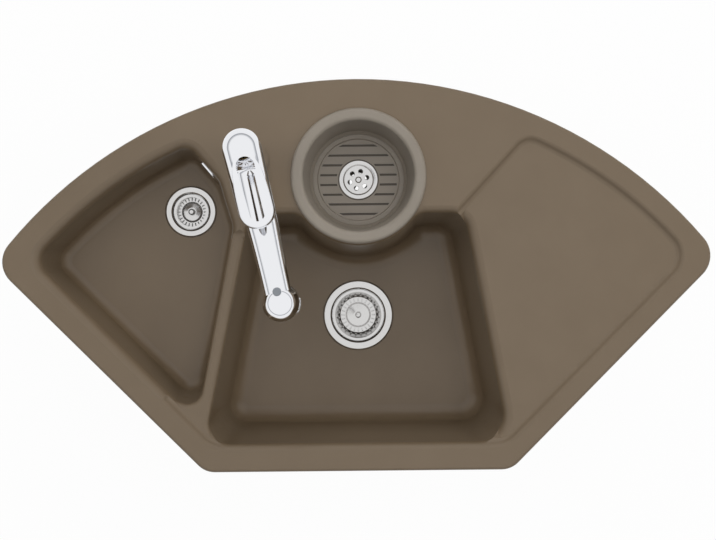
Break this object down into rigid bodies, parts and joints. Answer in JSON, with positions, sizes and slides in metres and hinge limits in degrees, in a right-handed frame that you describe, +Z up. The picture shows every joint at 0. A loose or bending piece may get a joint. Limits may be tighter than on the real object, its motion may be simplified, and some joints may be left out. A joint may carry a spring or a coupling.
{
  "type": "corner kitchen sink",
  "caption": "Corner kitchen sink in one glazed casting: main and small basin, drainer, lift-out colander bowl, basket strainer wastes, and a swivel tap with pull-out spray.",
  "frame": {"origin": "middle of the front rim's seat, on the plane of the worktop", "axes": "+X to the right along the front edge, +Y from the front edge to the back corner, +Z up"},
  "size_m": [1.057, 0.5849, 0.5125],
  "materials": {
    "body_glaze": "satin matt glaze, warm grey-brown",
    "bowl_glaze": "satin glaze, warm grey-brown",
    "chrome": "polished chrome plate",
    "steel": "pressed and polished stainless steel",
    "brass": "machined",
    "rubber": "moulded, black",
    "black_plastic": "moulded polypropylene",
    "white_plastic": "moulded acetal",
    "grey_plastic": "moulded, mid grey"
  },
  "bodies": {
    "sink": {"sink_body": "body_glaze", "main_waste_seal": "rubber", "main_waste_cup": "steel", "main_waste_lower_seal": "rubber", "main_waste_housing": "black_plastic", "main_waste_screw": "steel", "small_waste_seal": "rubber", "small_waste_cup": "steel", "small_waste_lower_seal": "rubber", "small_waste_housing": "black_plastic", "small_waste_screw": "steel", "overflow_cover": "chrome", "overflow_seal": "rubber", "overflow_housing": "black_plastic", "overflow_pipe": "black_plastic", "tap_gasket": "rubber", "tap_column": "chrome", "tap_bearing": "white_plastic", "tap_inlet_block": "brass", "tap_under_seal": "rubber", "tap_backing_plate": "steel", "tap_nut": "brass"},
    "tap_upper": {"swivel_housing": "chrome", "cartridge_body": "white_plastic", "cartridge_nut": "brass", "cartridge_cap": "chrome"},
    "lever_hub": {"cartridge_rotor": "white_plastic", "cartridge_pin": "steel"},
    "lever": {"cartridge_stem": "brass", "lever": "chrome", "lever_screw": "steel", "lever_index": "grey_plastic"},
    "spray": {"spray_handle": "chrome", "spray_collar": "white_plastic", "spray_nipple": "brass", "spray_bezel": "chrome", "spray_face": "grey_plastic"},
    "spray_button": {"spray_button": "grey_plastic"},
    "colander": {"colander_bowl": "bowl_glaze", "colander_strainer": "steel", "colander_screw": "steel", "colander_gasket": "rubber", "colander_outlet": "black_plastic"},
    "main_basket": {"main_basket": "steel", "main_basket_knob": "steel", "main_basket_seal": "rubber"},
    "small_basket": {"small_basket": "steel", "small_basket_knob": "steel", "small_basket_seal": "rubber"}
  },
  "joints": [
    {"name": "tap_swivel", "type": "hinge", "parent": "sink", "child": "tap_upper", "pos_m": [-0.1515, 0.4525, 0.04], "axis": [0, 0, 1], "range_deg": [-70, 70]},
    {"name": "lever_turn", "type": "hinge", "parent": "tap_upper", "child": "lever_hub", "pos_m": [-0.1515, 0.4525, 0.212], "axis": [0, 0, 1], "range_deg": [-45, 45]},
    {"name": "lever_lift", "type": "hinge", "parent": "lever_hub", "child": "lever", "pos_m": [-0.1515, 0.4525, 0.212], "axis": [-0.9744, -0.225, 0], "range_deg": [0, 25]},
    {"name": "spray_pull", "type": "slide", "parent": "tap_upper", "child": "spray", "axis": [0.22, -0.9531, 0.2079], "range_m": [0, 0.5]},
    {"name": "spray_press", "type": "slide", "parent": "spray", "child": "spray_button", "axis": [0, 0, -1], "range_m": [0, 0.0015], "stiffness_N_per_m": 300, "springref_m": -0.001},
    {"name": "colander_lift", "type": "slide", "parent": "sink", "child": "colander", "axis": [0, 0, 1], "range_m": [0, 0.11]},
    {"name": "main_basket_lift", "type": "slide", "parent": "sink", "child": "main_basket", "axis": [0, 0, 1], "range_m": [0, 0.235]},
    {"name": "small_basket_lift", "type": "slide", "parent": "sink", "child": "small_basket", "axis": [0, 0, 1], "range_m": [0, 0.145]}
  ]
}
